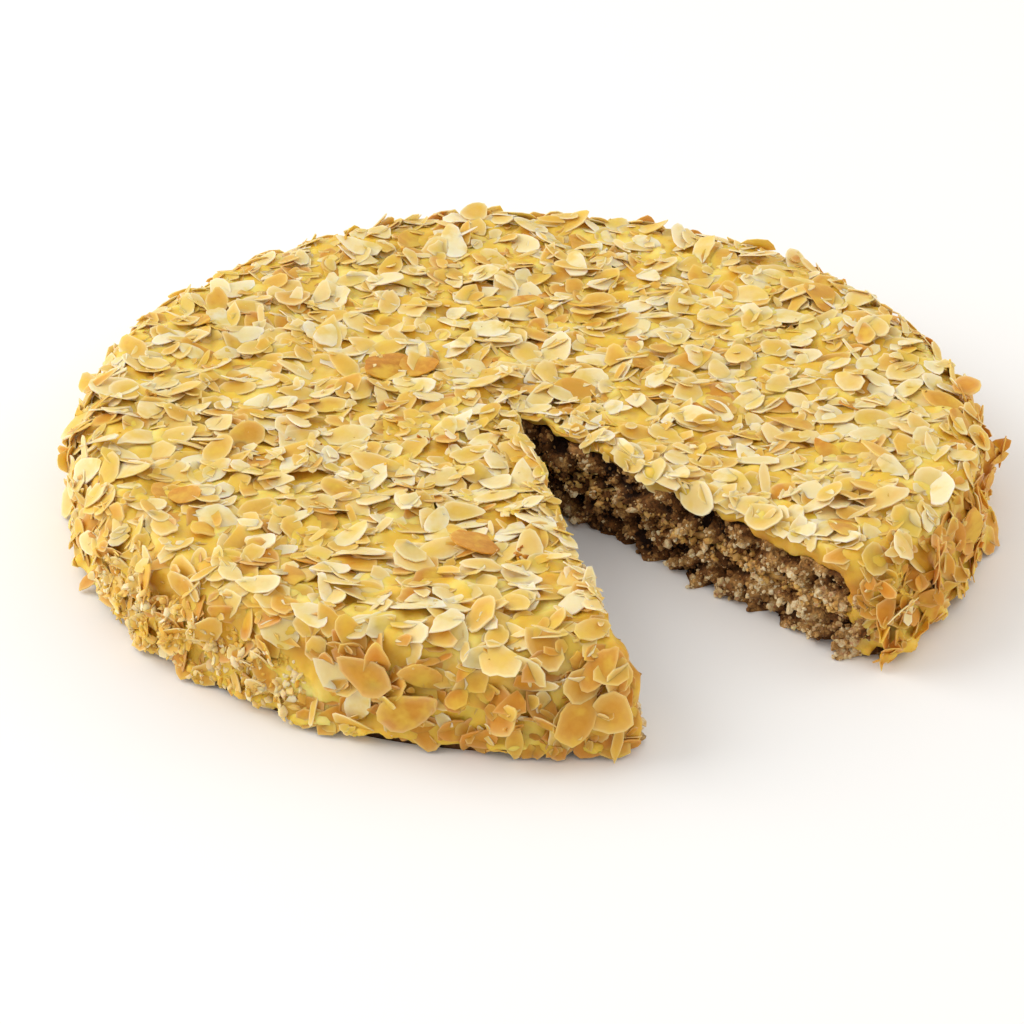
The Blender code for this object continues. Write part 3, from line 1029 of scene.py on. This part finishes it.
def corner_flakes(laid, ground, draw):
    """Flakes and chips stuck round the outer corners of the cut, turned from the gap to the side."""
    bodies = []
    for left in (False, True):
        core = CUT_APEX + cut_direction(left) * wall_reach(left, CORNER_CORE_RADIUS)
        core += into_cake(left) * CORNER_CORE_DEPTH
        to_gap = -into_cake(left)
        to_side = Vector((core.x, core.y, 0.0)).normalized()
        for _ in range(CORNER_FLAKES):
            kind = replace(FLAKE_KINDS[draw.choice(CORNER_KINDS)], lengths=CORNER_LENGTHS)
            outward = to_gap.lerp(to_side, draw.uniform(*CORNER_TURNS)).normalized()
            height = draw.uniform(*CORNER_HEIGHTS) * MM
            spot = core + UP * height, outward
            tip = 0.1 + 0.4 * foot_calm(height)
            spin = draw.uniform(0.0, math.tau)
            bodies.append(lay_one(laid, ground, kind, spot, spin, CORNER_SINK, tip, draw))
    ground.append(tree_of([body for body in bodies if body]))


CHIP_COUNT = 1200
CHIPS_ON_TOP = 0.3
TOP_CHIPS_FROM = 4 * MM
TOP_CHIPS_TO = 90 * MM
SIDE_CHIPS_FROM = 97 * MM
CHIP_SINK = 0.15


def strew_chips(laid, ground, draw):
    """Small broken bits between the flakes, most of them on the side and at its foot."""
    top_runs = (TOP_CHIPS_FROM, run_to(TOP_CHIPS_TO, 0.0))
    side_runs = (run_to(SIDE_CHIPS_FROM, 0.0), LENGTHS[-1])
    bodies = []
    for _ in range(CHIP_COUNT):
        runs = top_runs if draw.random() < CHIPS_ON_TOP else side_runs
        spot = on_cream(draw.uniform(*runs), draw.uniform(-math.pi, math.pi))
        if takes_flakes(spot[0]):
            tip = 0.15 + 0.35 * foot_calm(spot[0].z)
            spin = draw.uniform(0.0, math.tau)
            bodies.append(lay_one(laid, ground, FLAKE_KINDS[CHIPS], spot, spin, CHIP_SINK, tip, draw))
    ground.append(tree_of([body for body in bodies if body]))


@dataclass
class NotedFlake:
    """A flake that the eye picks out: degrees round the cake, radius or height in mm, and its looks."""

    kind: int
    degrees: float
    radius: float
    height: float
    spin: float
    length: float
    width: float
    toast: float
    lean: float = None


NOTED_FLAKES = (
    NotedFlake(TOASTED, 149.3, 39.4, 0.0, 150.0, 12.5, 0.72, 0.6),
    NotedFlake(TOASTED, 143.0, 32.5, 0.0, 125.0, 10.0, 0.66, 0.45),
    NotedFlake(TOASTED, -99.9, 64.5, 0.0, 5.0, 10.5, 0.86, 0.5),
    NotedFlake(TOASTED, -39.7, 88.0, 0.0, 40.0, 14.0, 0.5, 0.5),
    NotedFlake(TOASTED, 35.9, 88.2, 0.0, 160.0, 12.0, 0.6, 0.35),
    NotedFlake(TOASTED, 72.8, 50.9, 0.0, 10.0, 11.0, 0.55, 0.3),
    NotedFlake(TOASTED, -148.3, 87.5, 0.0, 30.0, 9.0, 0.6, 0.42),
    NotedFlake(GOLDEN, -103.0, 0.0, 10.5, 24.0, 14.5, 0.56, 0.05),
    NotedFlake(PALE, -80.9, 0.0, 12.5, 85.0, 10.5, 0.82, 0.0),
    NotedFlake(GOLDEN, -84.5, 0.0, 12.0, 62.0, 12.5, 0.6, 0.1),
    NotedFlake(GOLDEN, -91.2, 0.0, 2.6, 88.0, 8.5, 0.42, 0.1),
    NotedFlake(GOLDEN, -108.0, 0.0, 17.0, 150.0, 12.5, 0.66, 0.1),
    NotedFlake(PALE, 98.5, 97.0, 0.0, 10.0, 8.0, 0.6, 0.0, 1.1),
    NotedFlake(GOLDEN, 4.0, 100.0, 0.0, 0.0, 10.0, 0.6, 0.1, 1.0),
    NotedFlake(PALE, 176.0, 101.0, 0.0, 0.0, 8.5, 0.55, 0.0, 1.1),
    NotedFlake(PALE, -24.0, 98.5, 0.0, 20.0, 11.0, 0.55, 0.0, 0.9),
)


# Noted flakes lie a little over the others: sink in mm, and how much their slope varies
NOTED_SINK = -0.2
NOTED_TIP = 0.03

# The top's radii end this many outline points past the crest
TURN_POINTS = 30


def run_to(radius, height):
    """How far along the outline a radius on the top or a height on the side lies, from the middle."""
    crest = int(np.argmax(OUTLINE[:, 1]))
    if radius:
        return np.interp(radius, OUTLINE[: crest + TURN_POINTS, 0], LENGTHS[: crest + TURN_POINTS])
    return np.interp(-height, -OUTLINE[crest:, 1], LENGTHS[crest:])


def lay_noted(laid, ground, draw):
    """The toasted, large or upright flakes that stand out on the real cake, each in its place."""
    bodies = []
    for noted in NOTED_FLAKES:
        size = (noted.length, noted.length)
        width = (noted.width, noted.width)
        toast = (noted.toast, noted.toast)
        kind = replace(FLAKE_KINDS[noted.kind], lengths=size, widths=width, toasts=toast)
        spot = on_cream(run_to(noted.radius * MM, noted.height * MM), math.radians(noted.degrees))
        spin = math.radians(noted.spin)
        bodies.append(lay_one(laid, ground, kind, spot, spin, NOTED_SINK, NOTED_TIP, draw, lean=noted.lean))
    ground.append(tree_of([body for body in bodies if body]))


def join_bodies(name, bodies, triangles, material, tint_name, sharp_degrees=50):
    points = np.concatenate([points for points, _ in bodies])
    tints = np.concatenate([tints for _, tints in bodies])
    count = len(bodies[0][0])
    faces = np.concatenate([triangles + count * step for step in range(len(bodies))])
    obj = object_from_arrays(name, points, faces, material, tint_name, tints)
    obj.data.shade_smooth()
    obj.data.set_sharp_from_angle(angle=math.radians(sharp_degrees))
    return obj


def ball(subdivisions):
    """Points and triangles of a ball of radius 1."""
    bm = bmesh.new()
    bmesh.ops.create_icosphere(bm, subdivisions=subdivisions, radius=1.0)
    points = np.array([vert.co for vert in bm.verts])
    triangles = np.array([[vert.index for vert in face.verts] for face in bm.faces])
    bm.free()
    return points, triangles


GRAIN_BALL, GRAIN_TRIANGLES = ball(1)
GRAIN_ROUGHNESS = 0.2


def chunk(radii, planes, draw):
    """An angular crumb: a ball with flats broken off it, roughened and drawn out to three radii."""
    reach = 1.0 + GRAIN_ROUGHNESS * draw.standard_normal(len(GRAIN_BALL))
    for _ in range(planes):
        normal = draw.standard_normal(3)
        normal /= np.linalg.norm(normal)
        facing = GRAIN_BALL @ normal
        limit = draw.uniform(0.55, 0.9)
        reach = np.where(facing > 0.05, np.minimum(reach, limit / np.maximum(facing, 0.05)), reach)
    shape = GRAIN_BALL * reach[:, None] * np.array(radii)
    turn = np.array(Quaternion(draw.standard_normal(4)).normalized().to_matrix())
    return shape @ turn.T


def hit_ground(point, outward, ground):
    """Where a line straight in meets the cream or the almonds, or none."""
    start = point + outward * PROBE_HEIGHT
    hits = [tree.ray_cast(start, -outward)[3] for tree in ground]
    hits = [distance for distance in hits if distance is not None and distance < 2 * PROBE_HEIGHT]
    return start - outward * min(hits) if hits else None


def loose_bits(draw, ground, count, sizes, region, tones, toasts, flatness=0.6):
    """Angular almond bits lying on the cake: radii in mm, and a region as degrees and runs."""
    bodies = []
    degrees, runs = region
    for _ in range(count):
        point, outward = on_cream(draw.uniform(*runs), math.radians(draw.uniform(*degrees)))
        if depth_in_cake(point)[0] < 1.0 * MM:
            continue
        spot = hit_ground(point, outward, ground)
        if spot is None:
            continue
        size = (sizes[0] + (sizes[1] - sizes[0]) * draw.random() ** 2) * MM
        radii = np.array((1.0, draw.uniform(0.5, 0.9), draw.uniform(0.35, flatness))) * size
        points = chunk(radii, 3, draw) + np.array(spot - outward * 0.05 * size)
        points[:, 2] += max(0.0, LOWEST - points[:, 2].min())
        tints = np.zeros((len(points), 4))
        tints[:, 0] = draw.uniform(*tones)
        tints[:, 2] = draw.uniform(*toasts)
        bodies.append((points, tints))
    return bodies


# Tones of the crumb: painted shade darker for each mm into the cake, painted light paler towards the side,
# and uneven
HOLLOWS_PAINTED_SHADE = 0.16
LAYER_HOLLOWS_PAINTED_SHADE = 0.22
OUTER_END_PAINTED_LIGHT = 0.6
LAYER_OUTER_PAINTED_LIGHT = 0.5
LOWEST_CRUMB = 0.1 * MM
CRUMBS_FROM = 2.0 * MM
CRUMBS_SHORT_OF_END = 0.8 * MM


def uneven_tone(point):
    return wave(point, 4 * MM, 0.3, 61.0)


def wall_crumbs(draw, count, sizes, heights, tones, proud):
    """Crumbs standing out of both cut walls: radii in mm, tones as mean and spread from dark to pale."""
    bodies = []
    for left in (False, True):
        for _ in range(count):
            height = draw.uniform(*heights)
            wall_end = wall_reach(left, layer_radius(height)) - CRUMBS_SHORT_OF_END
            distance = draw.uniform(CRUMBS_FROM, wall_end)
            size = sizes[0] + (sizes[1] - sizes[0]) * draw.random() ** 2
            centre = cut_wall(distance, height, left, macaroon_relief)
            centre += into_cake(left) * draw.uniform(-proud, 0.4) * size * MM
            points = chunk(draw.uniform(0.5, 1.15, 3) * size * MM, 2, draw) + np.array(centre)
            points[:, 2] += max(0.0, LOWEST_CRUMB - points[:, 2].min())
            tone = draw.normal(*tones) + uneven_tone(centre)
            # Painted light and shade: paler towards the outer end of the wall, darker near the apex and
            # deeper in its hollows.
            tone += OUTER_END_PAINTED_LIGHT * (distance / CREAM_RADIUS - 0.5)
            tone -= HOLLOWS_PAINTED_SHADE * into_cake(left).dot(centre - CUT_APEX) / MM
            tints = np.ones((len(points), 4))
            tints[:, 0] = min(1.0, max(0.0, tone))
            bodies.append((points, tints))
    return bodies


def crumb_clump(draw, centre, spread, count, sizes, tones):
    """A clump of crumbs that hang together in front of the wall: its middle, spread and sizes in mm."""
    bodies = []
    for _ in range(count):
        place = Vector(centre) + Vector(draw.normal(0.0, spread / 2, 3))
        points = chunk(draw.uniform(*sizes) * draw.uniform(0.7, 1.1, 3) * MM, 2, draw)
        points += np.array(place) * MM
        points[:, 2] += max(0.0, LOWEST_CRUMB - points[:, 2].min())
        tints = np.ones((len(points), 4))
        tints[:, 0] = draw.uniform(*tones)
        bodies.append((points, tints))
    return bodies


def make_layer(name, profile, material, cutter):
    """A layer with the slice cut out, paler at its torn faces and towards its side: painted shade darkens it
    deeper into the cake, painted light pales it outwards.
    """
    layer = turned(name, profile, material)
    cut(layer, cutter)
    mesh = layer.data
    tints = np.ones((len(mesh.vertices), 4), dtype=np.float32)
    for vert in mesh.vertices:
        # Painted shade darker deeper into the cake, painted light paler towards the side.
        hollow = min(2.5, max(0.0, depth_in_cake(vert.co)[0] / MM - 0.2))
        outwards = LAYER_OUTER_PAINTED_LIGHT * (vert.co.length / CREAM_RADIUS - 0.5)
        tints[vert.index, 0] = 0.5 + outwards + uneven_tone(vert.co) - LAYER_HOLLOWS_PAINTED_SHADE * hollow
    mesh.color_attributes.new("crumb", "FLOAT_COLOR", "POINT").data.foreach_set("color", tints.ravel())
    mesh.shade_smooth()
    return layer


CAMERA_DISTANCE = 0.7
CAMERA_ELEVATION = math.radians(30.58)
CAMERA_AIM = (-3.66 * MM, -3.78 * MM)
CAMERA_ROLL = math.radians(0.3)
CAMERA_LENS = 104.8
SENSOR_WIDTH = 36.0


def place_camera():
    """The photo's view: from the front, about 31 degrees above the table."""
    camera = bpy.data.objects.new("camera", bpy.data.cameras.new("camera"))
    bpy.context.scene.collection.objects.link(camera)
    camera.data.lens = CAMERA_LENS
    camera.data.sensor_width = SENSOR_WIDTH
    back = Vector((0.0, -math.cos(CAMERA_ELEVATION), math.sin(CAMERA_ELEVATION)))
    picture_up = Vector((0.0, math.sin(CAMERA_ELEVATION), math.cos(CAMERA_ELEVATION)))
    aim = Vector((CAMERA_AIM[0], 0.0, 0.0)) + picture_up * CAMERA_AIM[1]
    camera.location = back * CAMERA_DISTANCE
    look = (aim - camera.location).to_track_quat("-Z", "Y")
    camera.rotation_mode = "QUATERNION"
    camera.rotation_quaternion = look @ Quaternion((0.0, 0.0, 1.0), CAMERA_ROLL)
    bpy.context.scene.camera = camera


def add_light(name, place, size, watts, colour):
    light = bpy.data.lights.new(name, "AREA")
    light.shape = "DISK"
    light.size = size
    light.energy = watts
    light.color = linear(colour)[:3]
    lamp = bpy.data.objects.new(name, light)
    lamp.location = place
    lamp.rotation_euler = (-Vector(place)).to_track_quat("-Z", "Y").to_euler()
    bpy.context.scene.collection.objects.link(lamp)


def light_studio():
    """A large soft lamp on the left, a weak one on the right and white walls all round."""
    add_light("window", (-1.0, 0.08, 0.68), 1.2, 9.5, "#FFFCF8")
    add_light("right_wall", (1.0, 0.2, 0.5), 0.8, 2.2, "#FFF6E8")
    world = bpy.data.worlds.new("white_walls")
    bpy.context.scene.world = world
    world.use_nodes = True
    background = world.node_tree.nodes["Background"]
    background.inputs["Color"].default_value = linear("#FFFFFF")
    background.inputs["Strength"].default_value = 0.82
    bpy.context.scene.view_settings.view_transform = "Standard"


def lay_floor(material):
    bm = bmesh.new()
    bmesh.ops.create_grid(bm, x_segments=1, y_segments=1, size=3.0)
    floor = object_from_bmesh("floor", bm, material)


def dress(piece, slot, *nodes):
    """A finished piece moves with the cake and stands for the solids that it replaces, which it hides; its
    slot is not used.
    """
    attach(piece, "root")
    if nodes:
        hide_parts(*nodes)


def make_cake(draw, cream_finish, macaroon_finish, filling_finish):
    """The two macaroon layers, the filling and the cream, all with the slice cut out."""
    smooth_cutter = slice_cutter("smooth_slice", SMOOTH_CUT_STEP, cream_relief)
    filling_cutter = slice_cutter("filling_slice", SMOOTH_CUT_STEP, filling_relief)
    torn_cutter = slice_cutter("torn_slice", TORN_CUT_STEP, macaroon_relief)
    lower_profile = layer_profile(0.0, LOWER_LAYER_TOP)
    upper_profile = layer_profile(UPPER_LAYER_BOTTOM, UPPER_LAYER_TOP, LAYER_SHOULDER)
    filling_profile = layer_profile(FILLING_BOTTOM, FILLING_TOP)
    lower = make_layer("lower_macaroon", lower_profile, macaroon_finish, torn_cutter)
    upper = make_layer("upper_macaroon", upper_profile, macaroon_finish, torn_cutter)
    filling = make_layer("golden_filling", filling_profile, filling_finish, filling_cutter)
    cream = make_cream(cream_finish, smooth_cutter, draw)
    dress(lower, "macaroon", "macaroon_lower")
    dress(upper, "macaroon", "macaroon_upper")
    dress(filling, "filling", "cream_filling")
    dress(cream, "cream_and_almonds", "cream_coat")
    for cutter in (smooth_cutter, filling_cutter, torn_cutter):
        bpy.data.objects.remove(cutter, do_unlink=True)
    return cream


# Crumbs on each wall of the cut, and the middle in mm of a clump at the foot of the right one
FINE_CRUMBS = 3600
COARSE_CRUMBS = 420
FILLING_LUMPS = 620
FOOT_CLUMP = (68.3, -65.6, 3.4)
FOOT_CLUMP_CRUMBS = 60
FOOT_CLUMP_SPREAD = 2.6


def crumble_cut(draw, macaroon_finish, filling_finish):
    """The torn crumb of both walls and the lumps of the filling between the layers."""
    wall = (0.2 * MM, UPPER_LAYER_TOP - 0.1 * MM)
    band = (FILLING_BOTTOM - 1.5 * MM, FILLING_TOP + 1.6 * MM)
    fine = wall_crumbs(draw, FINE_CRUMBS, (0.22, 0.7), wall, (0.66, 0.24), proud=0.7)
    coarse = wall_crumbs(draw, COARSE_CRUMBS, (0.7, 1.4), wall, (0.64, 0.16), proud=0.5)
    coarse += crumb_clump(draw, FOOT_CLUMP, FOOT_CLUMP_SPREAD, FOOT_CLUMP_CRUMBS, (0.5, 1.3), (0.5, 0.95))
    lumps = wall_crumbs(draw, FILLING_LUMPS, (0.35, 1.1), band, (0.8, 0.1), proud=0.8)
    for name, bodies, finish, slot in (
        ("fine_nut_crumbs", fine, macaroon_finish, "macaroon"),
        ("coarse_nut_crumbs", coarse, macaroon_finish, "macaroon"),
        ("filling_lumps", lumps, filling_finish, "filling"),
    ):
        dress(join_bodies(name, bodies, GRAIN_TRIANGLES, finish, "crumb", sharp_degrees=22), slot)


def lay_almonds(draw, cream, finish):
    """Lays every flake on the cream, joins them by kind and gives the trees of all that lies there."""
    ground = [BVHTree.FromObject(cream, bpy.context.evaluated_depsgraph_get())]
    laid = {kind.name: [] for kind in FLAKE_KINDS}
    strew_layers(laid, ground, LOWER_FLAKES, draw)
    corner_flakes(laid, ground, draw)
    strew_chips(laid, ground, draw)
    strew_layers(laid, ground, UPPER_FLAKES, draw)
    edge_flakes(laid, ground, draw)
    lay_noted(laid, ground, draw)
    for kind in FLAKE_KINDS:
        triangles = FLAKE_TRIANGLES[kind.points]
        piece = join_bodies(kind.name, laid[kind.name], triangles, finish, "flake")
        dress(piece, "cream_and_almonds")
    return ground


# Loose bits: how many all over the cake, at the lower left of the side, and in each dark crumb
CHOPPED_ALL_OVER = 120
CHOPPED_LOW_LEFT = 560
SPECKS = 40
BITS_IN_DARK_CRUMB = 7

# Dark crumbs on the top: degrees round the cake, radius and size in mm
DARK_CRUMBS = ((-179.4, 87.0, 1.6), (-91.3, 66.4, 1.3), (-149.1, 27.2, 1.0))


def scatter_bits(draw, ground, finish):
    """Chopped almonds and dark specks on the cake."""
    whole_cake = ((-180.0, 180.0), (5 * MM, LENGTHS[-1]))
    low_left = ((-152.0, -116.0), (run_to(0.0, 17 * MM), LENGTHS[-1]))
    chopped = loose_bits(draw, ground, CHOPPED_ALL_OVER, (0.4, 1.2), whole_cake, (0.1, 0.9), (0.0, 0.2))
    chopped += loose_bits(draw, ground, CHOPPED_LOW_LEFT, (0.6, 1.9), low_left, (0.1, 0.8), (0.0, 0.2), 0.5)
    piece = join_bodies("chopped_almonds", chopped, GRAIN_TRIANGLES, finish, "flake")
    dress(piece, "cream_and_almonds")
    specks = loose_bits(draw, ground, SPECKS, (0.25, 0.6), whole_cake, (1.0, 1.0), (0.7, 1.0))
    for degrees, radius, size in DARK_CRUMBS:
        spot = ((degrees - 1.2, degrees + 1.2), ((radius - 1.5) * MM, (radius + 1.5) * MM))
        sizes = (size * 0.5, size)
        specks += loose_bits(draw, ground, BITS_IN_DARK_CRUMB, sizes, spot, (1.0, 1.0), (0.75, 1.0), 0.8)
    piece = join_bodies("dark_specks", specks, GRAIN_TRIANGLES, finish, "flake")
    dress(piece, "cream_and_almonds")


def main():
    draw = np.random.default_rng(7)
    place_camera()
    light_studio()
    lay_floor(pale_floor())
    cream_finish = buttercream()
    almond_finish = flaked_almond()
    macaroon_finish = nut_macaroon()
    filling_finish = golden_filling()
    cream = make_cake(draw, cream_finish, macaroon_finish, filling_finish)
    crumble_cut(draw, macaroon_finish, filling_finish)
    ground = lay_almonds(draw, cream, almond_finish)
    scatter_bits(draw, ground, almond_finish)


main()
